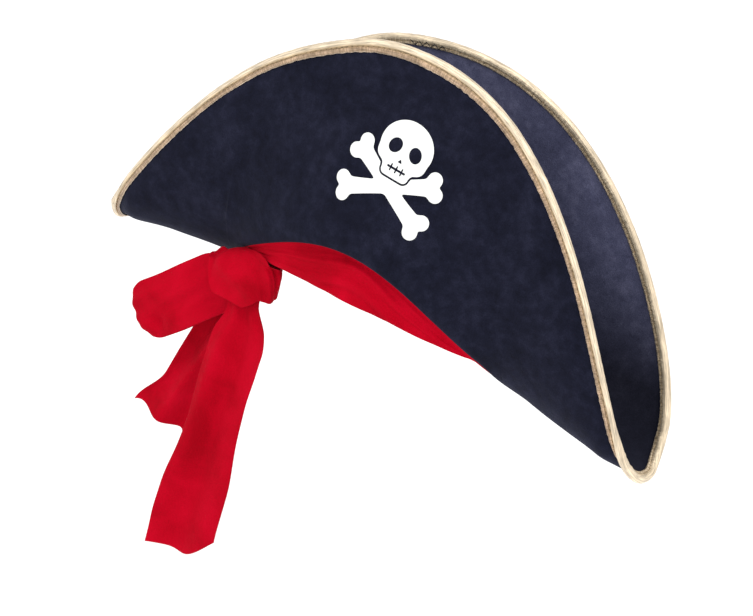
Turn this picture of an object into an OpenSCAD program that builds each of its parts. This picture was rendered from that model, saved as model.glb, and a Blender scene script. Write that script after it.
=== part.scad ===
// Costume pirate hat: two stiffened brim flaps with a gold binding, a soft crown,
// a red bandana round the head opening, and two tails and a loop that swing from its knot.
// Millimetres. Origin at the centre of the head opening, +Z up, front of the hat towards -Y.

/* [Brim] */
// Width over the two tips
span = 450; // [400:5:480]
// Height of the front flap's top edge above the tips
front_rise = 220; // [180:5:240]
// Height of the back flap's top edge above the tips
back_rise = 212; // [170:5:230]
// Depth of the front flap's top edge in front of the middle plane
front_lean = 46; // [38:1:54]
// Depth of the back flap's top edge behind the middle plane
back_lean = 37; // [30:1:46]
// Level of the tips below the front of the head opening
tip_drop = 43; // [35:1:50]
// Thickness of the stiff foam core
core_thick = 1.4; // [1.0:0.1:1.6]
// Thickness of the velvet on each side
cloth_thick = 0.5; // [0.4:0.05:0.5]

/* [Head opening] */
// Half width of the brim's hole, side to side
mouth_a = 114; // [108:1:118]
// Half depth of the brim's hole, front to back
mouth_b = 68; // [64:1:72]
// How far the band dips at the sides
side_dip = 26; // [20:1:28]
// Height of the brim's sewn edge at the front and back
arch_rise = 37; // [30:1:40]

/* [Crown] */
// Height of the crown's shoulder
crown_height = 98; // [85:1:104]
// Half width of the crown's top
crown_top_a = 86; // [78:1:90]
// Half depth of the crown's top
crown_top_b = 44; // [38:1:46]

/* [Edge binding] */
// Depth of the binding from the brim's edge
binding_depth = 8; // [6:0.5:10]
// Half thickness of the binding over the edge
binding_half = 2.6; // [2.4:0.1:2.8]

/* [Bandana] */
// Length of the long tail from the knot
long_tail = 222; // [180:2:230]
// Length of the middle tail from the knot
middle_tail = 142; // [110:2:150]
// Length of the bow loop
loop_length = 94; // [75:1:100]
// Width of the loop
loop_width = 41; // [34:1:44]

/* [Print] */
// Width of the skull
skull_width = 40; // [34:1:46]

/* [Hidden] */

half_span = span / 2;
cut_x = half_span - 3;
tip_z = -tip_drop;
keel_z = -24;
core_half = core_thick / 2;
cloth_in = core_half + 0.05;
cloth_out = cloth_in + cloth_thick;
channel_half = cloth_out + 0.5;

// Each flap: depth, rise, edge power, edge roundness, side and softening at the tip
front = [front_lean, front_rise, 1.03, 2.23, -1, 0];
back = [back_lean, back_rise, 0.73, 2.03, 1, 0.012];

velvet = [0.10, 0.11, 0.17];
foam = [0.25, 0.25, 0.27];
gold = [0.84, 0.73, 0.62];
red = [0.76, 0.02, 0.11];
black = [0.06, 0.06, 0.08];
white = [0.94, 0.95, 0.93];

// ---- small helpers ----
function mix(a, b, k) = a + (b - a) * k;
function clamp(v, lo, hi) = max(lo, min(hi, v));
function smooth(v) = clamp(v, 0, 1) * clamp(v, 0, 1) * (3 - 2 * clamp(v, 0, 1));
function unit(v) = v / norm(v);

// ---- the brim's middle surface ----
function edge_y(x, f) = f[0] * pow(max(0, 1 - pow(abs(x) / half_span, 12)), 0.45);
function edge_left(x, f) = max(0.00001, 1 - pow(abs(x) / half_span, f[3]));
function edge_z(x, f) =
    tip_z + f[1] * pow(edge_left(x, f), f[2]) * edge_left(x, f) / (edge_left(x, f) + f[5]);
function mouth_left(x) = max(0, 1 - pow(x / mouth_a, 2));
function arch(u) = 1.08 * u * u / (u + 0.08);
function base_y(x) = mouth_b * sqrt(mouth_left(x));
function base_z(x) = abs(x) < mouth_a
    ? keel_z + (arch_rise - keel_z) * arch(mouth_left(x))
    : tip_z + (keel_z - tip_z) * pow(max(0, half_span - abs(x)) / (half_span - mouth_a), 0.41);

function bezier(p, t) =
    p[0] * pow(1 - t, 3) + p[1] * 3 * t * pow(1 - t, 2) + p[2] * 3 * t * t * (1 - t) + p[3] * pow(t, 3);

// One cross-section of a flap, from its sewn edge (t = 0) to its free edge (t = 1)
function section(x, f, yb, zb, ye, ze, k) = [
    [yb, zb],
    [yb + max((0.5 + 0.4 * k) * (ye - yb), 10 * clamp(ye / 30, 0, 1)), zb],
    [mix(ye - 0.35 * (ye - yb), ye + 0.06 * (ze - zb), k), ze - (0.35 + 0.2 * k) * (ze - zb)],
    [ye, ze]
];
function flap_yz(x, t, f) = bezier(
    section(x, f, base_y(x), base_z(x), edge_y(x, f), edge_z(x, f),
        smooth((edge_z(x, f) - base_z(x)) / 48)), t);
function place(x, yz, f) = [x, f[4] * (yz[0] + 0.06), yz[1]];
function flap(x, t, f) = place(x, flap_yz(x, t, f), f);
function lim_x(x) = clamp(x, 0.5 - half_span, half_span - 0.5);
function along(x, t, f) =
    (flap(lim_x(x + 0.3), t, f) - flap(lim_x(x - 0.3), t, f)) / (lim_x(x + 0.3) - lim_x(x - 0.3));
function across(x, t, f) =
    (flap(x, min(1, t + 0.01), f) - flap(x, max(0, t - 0.01), f)) / (min(1, t + 0.01) - max(0, t - 0.01));
function outward(x, t, f) = unit(cross(across(x, t, f), along(x, t, f))) * f[4];
function skin(x, t, f, off) = flap(x, t, f) + off * outward(x, t, f);

// Stations along the hat, closest together at the head opening's ends and at the tips
outer_steps = 12;
inner_steps = 9;
outer_x = [for (j = [1 : outer_steps]) mouth_a + (cut_x - mouth_a) * sin(90 * j / outer_steps)];
inner_x = [for (i = [-inner_steps : inner_steps]) mouth_a * sin(90 * i / inner_steps)];
stations = concat([for (j = [outer_steps - 1 : -1 : 0]) -outer_x[j]], inner_x, outer_x);
rows = [0, 0.09, 0.22, 0.38, 0.56, 0.76, 0.92, 1];

// ---- solids made from grids of points ----
// One four-cornered cell as two triangles, cut along one diagonal or the other
function cell(a, b, c, d, other) = other ? [[a, b, d], [b, c, d]] : [[a, b, c], [a, c, d]];
// Faces of a tube of sections: count sections of size points each. From the point at turn_at on
// the diagonals run the other way, so that the two faces of a sheet are cut alike
function tube_sides(count, size, joined, turn_at) = [
    for (i = [0 : count - (joined ? 1 : 2)]) for (j = [0 : size - 1])
        let (k = (i + 1) % count, l = (j + 1) % size)
            each cell(i * size + j, i * size + l, k * size + l, k * size + j, j < turn_at)
];
// End caps of a sheet whose sections run up one face (rows points) and back down the other
function sheet_caps(count, n) = concat(
    [for (j = [0 : n - 2]) for (half = [0, 1])
        half == 0 ? [j, 2 * n - 1 - j, j + 1] : [j + 1, 2 * n - 1 - j, 2 * n - 2 - j]],
    [for (j = [0 : n - 2]) for (half = [0, 1])
        half == 0
        ? [(count - 1) * 2 * n + j, (count - 1) * 2 * n + j + 1, (count - 1) * 2 * n + 2 * n - 1 - j]
        : [(count - 1) * 2 * n + j + 1, (count - 1) * 2 * n + 2 * n - 2 - j, (count - 1) * 2 * n + 2 * n - 1 - j]]
);
function turn(faces, flip) = flip ? [for (f = faces) [f[2], f[1], f[0]]] : faces;

// A sheet: sections[i] holds n points of the first face, then n of the second in reverse
module sheet(sections, n, flip = false) {
    polyhedron(
        points = [for (s = sections) each s],
        faces = turn(concat(tube_sides(len(sections), 2 * n, false, n), sheet_caps(len(sections), n)), flip),
        convexity = 8
    );
}
// A closed ring of sections
module ring(sections, flip = false) {
    polyhedron(
        points = [for (s = sections) each s],
        faces = turn(tube_sides(len(sections), len(sections[0]), true, len(sections[0])), flip),
        convexity = 8
    );
}

// ---- brim ----
module brim_layer(f, low, high) {
    n = len(rows);
    sheet(
        [for (x = stations) concat(
            [for (t = rows) skin(x, t, f, low)],
            [for (j = [n - 1 : -1 : 0]) skin(x, rows[j], f, high)]
        )],
        n,
        flip = f[4] < 0
    );
}
module front_brim_outer() {
    color(velvet) brim_layer(front, cloth_in, cloth_out);
}
module front_brim_core() {
    color(foam) brim_layer(front, -core_half, core_half);
}
module front_brim_inner() {
    color(velvet) brim_layer(front, -cloth_out, -cloth_in);
}
module back_brim_outer() {
    color(velvet) brim_layer(back, cloth_in, cloth_out);
}
module back_brim_core() {
    color(foam) brim_layer(back, -core_half, core_half);
}
module back_brim_inner() {
    color(velvet) brim_layer(back, -cloth_out, -cloth_in);
}

// ---- edge binding: stations round the whole edge, each walked inward over the surface ----
end_rows = [0.8, 0.6, 0.42, 0.2];
edge_stops = concat(
    [for (x = stations) [x, 1, front]],
    [for (t = end_rows) [cut_x, t, front]],
    [[cut_x, 0, front]],
    [for (j = [3 : -1 : 0]) [cut_x, end_rows[j], back]],
    [for (j = [len(stations) - 1 : -1 : 0]) [stations[j], 1, back]],
    [for (t = end_rows) [-cut_x, t, back]],
    [[-cut_x, 0, front]],
    [for (j = [3 : -1 : 0]) [-cut_x, end_rows[j], front]]
);
stop_count = len(edge_stops);
function stop_at(i) = edge_stops[(i + stop_count) % stop_count];
function stop_point(s) = flap(s[0], s[1], s[2]);
function stop_normal(s) = outward(s[0], s[1], s[2]);
function stop_inward(i) = unit(cross(
    unit(stop_point(stop_at(i + 1)) - stop_point(stop_at(i - 1))), stop_normal(stop_at(i))));
function flat_to(v, n) = unit(v - (v * n) * n);
// Moves a stop [x, t, flap] by dist along the surface in direction dir
function walk(s, dir, dist, px, pt, det) = [
    s[0] + dist * ((dir * px) * (pt * pt) - (dir * pt) * (px * pt)) / det,
    clamp(s[1] + dist * ((dir * pt) * (px * px) - (dir * px) * (px * pt)) / det, 0, 1),
    s[2]
];
function walk_from(s, dir, dist) = walk(s, dir, dist, along(s[0], s[1], s[2]), across(s[0], s[1], s[2]),
    pow(norm(cross(along(s[0], s[1], s[2]), across(s[0], s[1], s[2]))), 2));
// Frames at the edge, half way in and at the binding's hem: [point, normal, inward direction]
function edge_frame(i) = [stop_point(stop_at(i)), stop_normal(stop_at(i)), stop_inward(i)];
function next_frame(s, dir) = [stop_point(s), stop_normal(s), flat_to(dir, stop_normal(s)), s];
function mid_frame(i) = next_frame(walk_from(stop_at(i), stop_inward(i), binding_depth / 2), stop_inward(i));
function hem_frame(m) = next_frame(walk_from(m[3], m[2], binding_depth / 2), m[2]);
// The binding is looser where it turns round the tips
function looser(p) = 0.6 * smooth((abs(p[0]) - 190) / 18);
function lift(fr, off) = fr[0] + (off + sign(off) * looser(fr[0])) * fr[1];

function binding_section(e, m, h) = concat(
    [lift(h, binding_half), lift(m, binding_half), lift(e, binding_half)],
    [e[0] - 1.3 * e[2] + 0.66 * binding_half * e[1]],
    [e[0] - 1.8 * e[2]],
    [e[0] - 1.3 * e[2] - 0.66 * binding_half * e[1]],
    [lift(e, -binding_half), lift(m, -binding_half), lift(h, -binding_half)],
    [lift(h, -channel_half), lift(m, -channel_half)],
    [e[0] - 0.4 * e[2] - channel_half * e[1]],
    [e[0] - 0.4 * e[2] + channel_half * e[1]],
    [lift(m, channel_half), lift(h, channel_half)]
);
module edge_binding() {
    color(gold) ring([for (i = [0 : stop_count - 1])
        let (m = mid_frame(i)) binding_section(edge_frame(i), m, hem_frame(m))]);
}
function thread_section(m, h, k, w, low, high) = [
    mix(lift(m, low), lift(h, low), k + w),
    mix(lift(m, low), lift(h, low), k - w),
    mix(lift(m, high), lift(h, high), k - w),
    mix(lift(m, high), lift(h, high), k + w)
];
module binding_thread() {
    color(gold) ring([for (i = [0 : stop_count - 1])
        let (m = mid_frame(i))
            thread_section(m, hem_frame(m), 0.6, 0.07, binding_half + 0.15, binding_half + 0.55)], flip = true);
}

// ---- seams ----
// The two flaps are sewn together under the tips along the middle plane
module keel_line(side) {
    sheet(
        [for (x = [for (j = [0 : 8]) outer_x[j]])
            let (p = flap(side * x, 0, front), n = outward(side * x, 0, front)) [
                [p[0], -0.5, p[2]] + (cloth_out + 0.05) * n,
                [p[0], 0.5, p[2]] + (cloth_out + 0.05) * n,
                [p[0], 0.5, p[2]] + (cloth_out + 0.5) * n,
                [p[0], -0.5, p[2]] + (cloth_out + 0.5) * n
            ]],
        2,
        flip = side < 0
    );
}
module keel_thread() {
    color(black) for (side = [-1, 1]) keel_line(side);
}

// ---- crown, lining, sweatband and bandana band: walls round the head opening ----
ring_steps = 60;
function low_z(c) = -side_dip * pow(abs(c), 2.6);
function attach_z(c) = keel_z + (arch_rise - keel_z) * arch(1 - c * c);
function wall_a(h, inset) = mix(mouth_a - 0.9, crown_top_a + 2.3, pow(h, 1.6)) - inset;
function wall_b(h, inset) = mix(mouth_b - 0.9, crown_top_b + 2.3, pow(h, 1.6)) - inset;
function wall_h(z) = clamp(z / crown_height, 0, 1);
function wall_point(phi, z, inset) =
    [wall_a(wall_h(z), inset) * cos(phi), wall_b(wall_h(z), inset) * sin(phi), z];
// A wall between two insets, from height lows(phi) to highs(phi) in equal steps
function wall_section(phi, z0, z1, inset0, inset1, steps) = concat(
    [for (j = [0 : steps]) wall_point(phi, mix(z0, z1, j / steps), inset0)],
    [for (j = [steps : -1 : 0]) wall_point(phi, mix(z0, z1, j / steps), inset1)]
);
function phi_at(i) = 360 * i / ring_steps;

module bandana_band() {
    color(red) ring([for (i = [0 : ring_steps - 1]) let (c = cos(phi_at(i)))
        wall_section(phi_at(i), low_z(c), attach_z(c) + 2, 0, 1.2, 4)]);
}
// The seam's thread lies on the crown just above the band's top, where the brim turns up
module brim_seam_thread() {
    color(black) ring([for (i = [0 : ring_steps - 1]) let (c = cos(phi_at(i)))
        wall_section(phi_at(i), attach_z(c) + 2.6, attach_z(c) + 3.3, 0.8, 1.35, 1)]);
}
module crown_side() {
    color(velvet) ring([for (i = [0 : ring_steps - 1]) let (c = cos(phi_at(i)))
        wall_section(phi_at(i), low_z(c) + 2.5, crown_height, 1.5, 2.5, 6)]);
}
module crown_lining() {
    color(black) ring([for (i = [0 : ring_steps - 1]) let (c = cos(phi_at(i)))
        wall_section(phi_at(i), low_z(c) + 5, crown_height - 1, 2.85, 3.35, 6)]);
}
module sweatband() {
    color(black) ring([for (i = [0 : ring_steps - 1]) let (c = cos(phi_at(i)))
        wall_section(phi_at(i), low_z(c) + 3, low_z(c) + 31, 3.75, 4.65, 3)]);
}
// The top is a slightly domed oval panel that sits on the wall's upper edge
function dome(r) = 8 * (1 - pow(r, 2.4));
module crown_top() {
    rings = 5;
    count = ring_steps;
    points = concat(
        [[0, 0, crown_height + 0.1 + dome(0)]],
        [for (k = [1 : rings]) for (i = [0 : count - 1])
            [(crown_top_a + 0.9) * k / rings * cos(phi_at(i)), (crown_top_b + 0.9) * k / rings * sin(phi_at(i)),
                crown_height + 0.1 + dome(k / rings)]],
        [[0, 0, crown_height + 1.1 + dome(0)]],
        [for (k = [1 : rings]) for (i = [0 : count - 1])
            [(crown_top_a + 0.9) * k / rings * cos(phi_at(i)), (crown_top_b + 0.9) * k / rings * sin(phi_at(i)),
                crown_height + 1.1 + dome(k / rings)]]
    );
    layer = 1 + rings * count;
    color(velvet) polyhedron(
        points = points,
        faces = concat(
            [for (i = [0 : count - 1]) [0, 1 + i, 1 + (i + 1) % count]],
            [for (k = [0 : rings - 2]) for (i = [0 : count - 1]) for (half = [0, 1])
                half == 0
                ? [1 + k * count + i, 1 + (k + 1) * count + i, 1 + (k + 1) * count + (i + 1) % count]
                : [1 + k * count + i, 1 + (k + 1) * count + (i + 1) % count, 1 + k * count + (i + 1) % count]],
            [for (i = [0 : count - 1]) [layer, layer + 1 + (i + 1) % count, layer + 1 + i]],
            [for (k = [0 : rings - 2]) for (i = [0 : count - 1]) for (half = [0, 1])
                half == 0
                ? [layer + 1 + k * count + i, layer + 1 + (k + 1) * count + (i + 1) % count,
                    layer + 1 + (k + 1) * count + i]
                : [layer + 1 + k * count + i, layer + 1 + k * count + (i + 1) % count,
                    layer + 1 + (k + 1) * count + (i + 1) % count]],
            [for (i = [0 : count - 1]) for (half = [0, 1])
                let (a = 1 + (rings - 1) * count + i, b = 1 + (rings - 1) * count + (i + 1) % count)
                    half == 0 ? [a, layer + a, b] : [b, layer + a, layer + b]]
        ),
        convexity = 4
    );
}

// ---- knot, tails and loop ----
// The knot is a soft block under the band. Each tail hangs in its own slot, one behind another
knot_at = [-86, -44, -27];
knot_size = [30, 14.5, 14.5];
long_hinge = [-77, -53, -27];
loop_hinge = [-92, -44, -23];
middle_hinge = [-88, -35, -27];
disc_r = 5.5;
disc_thick = 3;
slot_gap = 0.4;

module slot(hinge) {
    low = knot_at[2] - 40;
    high = hinge[2] + disc_r + 1;
    translate([knot_at[0], hinge[1], (low + high) / 2])
        cube([80, disc_thick + 2 * slot_gap, high - low], center = true);
}
module bandana_knot() {
    color(red) difference() {
        translate(knot_at) scale(knot_size) sphere(r = 1, $fn = 36);
        slot(long_hinge);
        slot(loop_hinge);
        slot(middle_hinge);
    }
}
module neck_disc(hinge) {
    translate(hinge) rotate([90, 0, 0]) cylinder(r = disc_r, h = disc_thick, center = true, $fn = 40);
}

// A tail hangs from its hinge along direction lean. Its half width follows four values at
// the root, a quarter, two thirds and the end, and its end is rounded and cut aslant
function tail_half(v, widths) =
    v < 0.15 ? mix(widths[0], widths[1], smooth(v / 0.15))
    : v < 0.55 ? mix(widths[1], widths[2], (v - 0.15) / 0.4)
    : mix(widths[2], widths[3], smooth((v - 0.55) / 0.3));
function end_cut(u, slant) = slant * pow(u + 0.5, 2) + 8 * pow(u, 8);
function fold(u, v, amp, waves, turn) = amp * smooth((v - 0.12) / 0.3) * sin(180 * waves * u + turn + 120 * v);
function tail_point(hinge, v, u, length, widths, slant, lean, amp, waves, turn, off) =
    let (s = 2 + (length - 2 - end_cut(u, slant)) * v, b = u * tail_half(v, widths))
        hinge + [s * sin(lean) + b * cos(lean),
            fold(u, v, amp, waves, turn) + off,
            b * sin(lean) - s * cos(lean)];
module tail(hinge, length, widths, slant, lean, amp, waves, turn) {
    steps = 16;
    n = 9;
    union() {
        neck_disc(hinge);
        sheet(
            [for (i = [0 : steps]) concat(
                [for (j = [0 : n - 1]) tail_point(hinge, i / steps, 2 * j / (n - 1) - 1,
                    length, widths, slant, lean, amp, waves, turn, -0.6)],
                [for (j = [n - 1 : -1 : 0]) tail_point(hinge, i / steps, 2 * j / (n - 1) - 1,
                    length, widths, slant, lean, amp, waves, turn, 0.6)]
            )],
            n
        );
    }
}
module tail_long() {
    color(red) tail(long_hinge, long_tail, [12, 22, 22.5, 30], 14, 0, 2.2, 1.3, 20);
}
module tail_middle() {
    color(red) tail(middle_hinge, middle_tail, [10, 16.5, 17, 23.5], 5, -16.5, 1.8, 1.2, 160);
}

// The loop is one strip that runs out, turns back and returns to the knot
loop_lean = -48;
function loop_out(s) = 4 + (loop_length - 4) * (1 - cos(360 * s)) / 2;
function loop_open(s) = 0.95 * sin(360 * s) / (abs(sin(360 * s)) + 0.12)
    + 3.5 * sin(360 * s) * smooth((loop_out(s) - 22) / 26);
function loop_curve(s) = [loop_out(s), loop_open(s)];
function loop_normal(s) = let (d = loop_curve(s + 0.004) - loop_curve(s - 0.004)) unit([-d[1], d[0]]);
function loop_half(r) = mix(8, loop_width / 2, smooth(r / (loop_length * 0.4)));
function loop_point(s, u, off) =
    let (c = loop_curve(s) + off * loop_normal(s), b = u * loop_half(c[0]))
        loop_hinge + [c[0] * sin(loop_lean) + b * cos(loop_lean),
            -c[1],
            b * sin(loop_lean) - c[0] * cos(loop_lean)];
module bow_loop() {
    steps = 30;
    n = 5;
    color(red) union() {
        neck_disc(loop_hinge);
        sheet(
            [for (i = [0 : steps]) let (s = mix(0.025, 0.975, i / steps)) concat(
                [for (j = [0 : n - 1]) loop_point(s, 2 * j / (n - 1) - 1, -0.5)],
                [for (j = [n - 1 : -1 : 0]) loop_point(s, 2 * j / (n - 1) - 1, 0.5)]
            )],
            n,
            flip = true
        );
    }
}

// ---- print on the front flap ----
module bone(angle) {
    rotate(angle) {
        square([60, 9.5], center = true);
        for (side = [-1, 1]) for (up = [-1, 1])
            translate([side * 31, up * 5]) circle(r = 6.2, $fn = 20);
    }
}
module emblem() {
    k = skull_width / 40;
    difference() {
        union() {
            translate([0, 15 * k]) scale([1, 0.92]) circle(r = 20 * k, $fn = 40);
            translate([0, 1 * k]) square([22 * k, 16 * k], center = true);
            translate([0, -13]) {
                bone(19);
                bone(-19);
            }
        }
        for (side = [-1, 1]) translate([side * 8 * k, 14 * k]) scale([1, 1.15]) circle(r = 4.4 * k, $fn = 20);
        translate([0, 6.5 * k]) polygon([[-2.4, -2], [2.4, -2], [0, 2.6]] * k);
        translate([0, -0.6 * k]) square([14 * k, 1.6 * k], center = true);
    }
}
module skull_print() {
    color(white) intersection() {
        brim_layer(front, cloth_out + 0.06, cloth_out + 0.4);
        translate([9, -45, 97]) rotate([90, 0, 0]) linear_extrude(height = 30) rotate(-9) emblem();
    }
}

front_brim_outer();
front_brim_core();
front_brim_inner();
back_brim_outer();
back_brim_core();
back_brim_inner();
edge_binding();
binding_thread();
keel_thread();
brim_seam_thread();
crown_side();
crown_top();
crown_lining();
sweatband();
bandana_band();
bandana_knot();
tail_long();
tail_middle();
bow_loop();
skull_print();
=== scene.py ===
"""Costume pirate hat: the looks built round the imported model. Lengths in the helpers are in mm."""
import math
from collections import namedtuple

import bmesh
import bpy
import numpy as np
from mathutils import Matrix, Vector


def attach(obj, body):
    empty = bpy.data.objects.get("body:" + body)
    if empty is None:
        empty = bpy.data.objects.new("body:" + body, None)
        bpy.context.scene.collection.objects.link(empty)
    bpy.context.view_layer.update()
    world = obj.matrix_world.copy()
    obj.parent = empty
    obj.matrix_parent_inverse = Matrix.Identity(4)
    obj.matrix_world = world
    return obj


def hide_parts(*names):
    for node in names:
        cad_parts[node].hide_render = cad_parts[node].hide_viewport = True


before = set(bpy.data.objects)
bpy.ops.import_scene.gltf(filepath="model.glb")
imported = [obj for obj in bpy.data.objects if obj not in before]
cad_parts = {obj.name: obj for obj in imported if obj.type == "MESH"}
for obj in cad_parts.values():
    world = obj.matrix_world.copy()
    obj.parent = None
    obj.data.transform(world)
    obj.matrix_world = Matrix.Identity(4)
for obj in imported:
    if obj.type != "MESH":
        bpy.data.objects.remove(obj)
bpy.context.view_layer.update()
MM = 0.001

# ---- the hat's measures, in mm: the CAD's, but for the hem's height, the edges' swell and the droop ----
HALF_SPAN = 225.0
CUT_X = 222.0
TIP_Z = -43.0
KEEL_Z = -24.0
MOUTH_A = 114.0
MOUTH_B = 68.0
ARCH_RISE = 37.0
HEM_RISE = 5.0
HEM_DIP = 15.5
CROWN_HEIGHT = 98.0
CROWN_TOP_A = 86.0
CROWN_TOP_B = 44.0
CORE_HALF = 0.7
CLOTH_IN = 0.75
CLOTH_OUT = 1.25
BINDING_DEPTH = 8.0
NOSE_WIDTH = 8.2
TIP_ROUND = 8.0
LONG_HINGE = np.array([-77.0, -53.0, -27.0])
LOOP_HINGE = np.array([-92.0, -44.0, -23.0])
MIDDLE_HINGE = np.array([-88.0, -35.0, -27.0])

# a flap: its free edge's depth, rise and shape, its side, a swell of that edge, and the seed of its nap
Flap = namedtuple("Flap", "depth rise power roundness side softening swell swell_at seed")
FRONT = Flap(46.0, 220.0, 1.03, 2.23, -1.0, 0.0, -4.0, -72.0, 11)
BACK = Flap(37.0, 212.0, 0.73, 2.03, 1.0, 0.012, 2.4, -78.0, 13)
SWELL_REACH = 38.0
RIGHT_DROOP = 4.0
DROOP_FROM = 105.0
DROOP_REACH = 85.0


# ---- small helpers ----
def smooth(v):
    v = np.clip(v, 0, 1)
    return v * v * (3 - 2 * v)


def mix(a, b, k):
    return a + (b - a) * k


def unit(v):
    return v / np.maximum(np.linalg.norm(v, axis=-1, keepdims=True), 1e-9)


def stack(*parts):
    return np.stack(np.broadcast_arrays(*parts), -1)


def dot(a, b):
    return (a * b).sum(-1)


WAVE_COUNT = 12


def waves(u, v, size, seed):
    """A smooth random field from about -1 to 1 whose bumps are about size apart."""
    rng = np.random.default_rng(seed)
    total = 0
    for _ in range(WAVE_COUNT):
        angle, phase = rng.uniform(0, 2 * np.pi, 2)
        length = size * rng.uniform(0.75, 1.6)
        total = total + np.sin(2 * np.pi * (u * np.cos(angle) + v * np.sin(angle)) / length + phase)
    return total / math.sqrt(2 * WAVE_COUNT)


def lengths(points, axis):
    """How far along the rows of a grid of points each point is."""
    steps = np.linalg.norm(np.diff(points, axis=axis), axis=-1)
    zero = np.zeros_like(np.take(steps, [0], axis))
    return np.concatenate([zero, np.cumsum(steps, axis=axis)], axis)


# ---- meshes ----
def add_mesh(name, points, faces, uv=None, sharp=50):
    """A mesh object from points in mm. uv gives each point's place on the flat cloth, in mm."""
    mesh = bpy.data.meshes.new(name)
    mesh.from_pydata((np.asarray(points, float) * MM).tolist(), [], [list(f) for f in faces])
    if uv is not None:
        corners = np.array([v for f in faces for v in f])
        layer = mesh.uv_layers.new(name="cloth")
        layer.data.foreach_set("uv", (np.asarray(uv, float)[corners] * MM).astype(np.float32).ravel())
    mesh.shade_smooth()
    mesh.set_sharp_from_angle(angle=math.radians(sharp))
    piece = bpy.data.objects.new(name, mesh)
    bpy.context.scene.collection.objects.link(piece)
    return piece


def volume(points, faces):
    total = 0.0
    for size in {len(f) for f in faces}:
        p = points[np.array([f for f in faces if len(f) == size])]
        for k in range(1, size - 1):
            total += dot(p[:, 0], np.cross(p[:, k], p[:, k + 1])).sum()
    return total / 6


def outward(points, faces):
    """The faces, all turned over if they face inwards."""
    return [f[::-1] for f in faces] if volume(points, faces) < 0 else faces


def grid_faces(ids, closed):
    a = np.concatenate([ids, ids[:1]]) if closed else ids
    quads = np.stack([a[:-1, :-1], a[1:, :-1], a[1:, 1:], a[:-1, 1:]], -1)
    return quads.reshape(-1, 4)


def shell(name, front, back, closed=False, lip=0.0, weld=False, sharp=50, rows_at=None):
    """A thin closed sheet between two grids of points. With lip, its long edges are rounded by that much.
    rows_at says how far across the flat cloth each column lies, if the points aren't to be measured."""
    n, m = front.shape[:2]
    near, far = [np.arange(n * m).reshape(n, m) + k * n * m for k in (0, 1)]
    points = np.concatenate([front.reshape(-1, 3), back.reshape(-1, 3)])
    along, across = lengths(front, 0), lengths(front, 1)
    if rows_at is not None:
        across = 0 * across + rows_at
    flat = np.stack([along[:, m // 2, None] + 0 * across, across], -1).reshape(-1, 2)
    uv = np.concatenate([flat, flat])
    faces = [grid_faces(near, closed), grid_faces(far, closed)[:, ::-1]]
    for j, inner in ((0, 1), (m - 1, m - 2)):
        edge = [near[:, j], far[:, j]]
        if lip:
            middle = (front[:, j] + back[:, j]) / 2
            rim = middle + lip * unit(front[:, j] - front[:, inner])
            edge.insert(1, np.arange(n) + len(points))
            points = np.concatenate([points, rim])
            uv = np.concatenate([uv, uv[near[:, j]]])
        strip = np.stack(edge, -1)
        quads = grid_faces(strip, closed)
        faces.append(quads if j == 0 else quads[:, ::-1])
        if lip and not closed:
            ends = strip[[0, -1]]
            faces.append(ends[:1, ::-1] if j == 0 else ends[:1])
            faces.append(ends[1:] if j == 0 else ends[1:, ::-1])
    if not closed:
        for i in (0, n - 1):
            quads = grid_faces(np.stack([near[i], far[i]]), False)
            faces.append(quads if i else quads[:, ::-1])
    faces = [tuple(int(v) for v in f) for block in faces for f in block]
    piece = add_mesh(name, points, outward(points, faces), uv, sharp)
    if weld:
        clean(piece)
    return piece


def clean(piece):
    work = bmesh.new()
    work.from_mesh(piece.data)
    bmesh.ops.remove_doubles(work, verts=work.verts, dist=1e-6)
    bmesh.ops.dissolve_degenerate(work, dist=1e-7, edges=work.edges)
    work.to_mesh(piece.data)
    work.free()


THREAD_SIDES = 6
THREAD_FLATNESS = 0.8
STITCH_SHAPE = np.array([0.25, 0.9, 1.0, 0.9, 0.25])


def thread(path, normals, radii, first=0):
    """The points of a thread along a path, flattened along the normals, and its faces numbered from first."""
    tangent = unit(np.gradient(path, axis=0))
    normal = unit(normals - dot(normals, tangent)[:, None] * tangent)
    side = np.cross(tangent, normal)
    turns = (np.arange(THREAD_SIDES) * 2 * np.pi / THREAD_SIDES)[:, None]
    circle = np.cos(turns) * side[:, None] + THREAD_FLATNESS * np.sin(turns) * normal[:, None]
    points = path[:, None] + radii[:, None, None] * circle
    ids = first + np.arange(len(path) * THREAD_SIDES).reshape(-1, THREAD_SIDES)
    around = np.concatenate([ids, ids[:, :1]], 1)
    faces = [*grid_faces(around, False).tolist(), ids[0].tolist(), ids[-1, ::-1].tolist()]
    return points.reshape(-1, 3), faces


def stitches(name, path, normals, length, gap, radius, closed=False):
    """A row of separate sewn stitches on a path: short spindles that sink at both ends."""
    if closed:
        path, normals = [np.concatenate([a, a[:1]]) for a in (path, normals)]
    at = lengths(path, 0)
    count = max(1, int(at[-1] / (length + gap)))
    pitch = at[-1] / count
    points, faces = [], []
    for i in range(count):
        s = i * pitch + gap / 2 + (pitch - gap) * np.linspace(0, 1, len(STITCH_SHAPE))
        line = np.stack([np.interp(s, at, path[:, k]) for k in range(3)], -1)
        face = unit(np.stack([np.interp(s, at, normals[:, k]) for k in range(3)], -1))
        line = line + face * (radius * 1.2 * (STITCH_SHAPE - 0.6))[:, None]
        more_points, more_faces = thread(line, face, radius * STITCH_SHAPE, len(points))
        points.extend(more_points)
        faces.extend(more_faces)
    points = np.array(points)
    return add_mesh(name, points, outward(points, faces), sharp=70)


def half_area(piece):
    """The area of one face of a thin closed sheet, in square metres."""
    return sum(p.area for p in piece.data.polygons) / 2


# ---- the brim's middle surface: x along the hat, t from the seam (0) to the edge (1) ----
def droop(x):
    """The right tip hangs a little lower than the left one."""
    return RIGHT_DROOP * smooth((x - DROOP_FROM) / DROOP_REACH)


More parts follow.
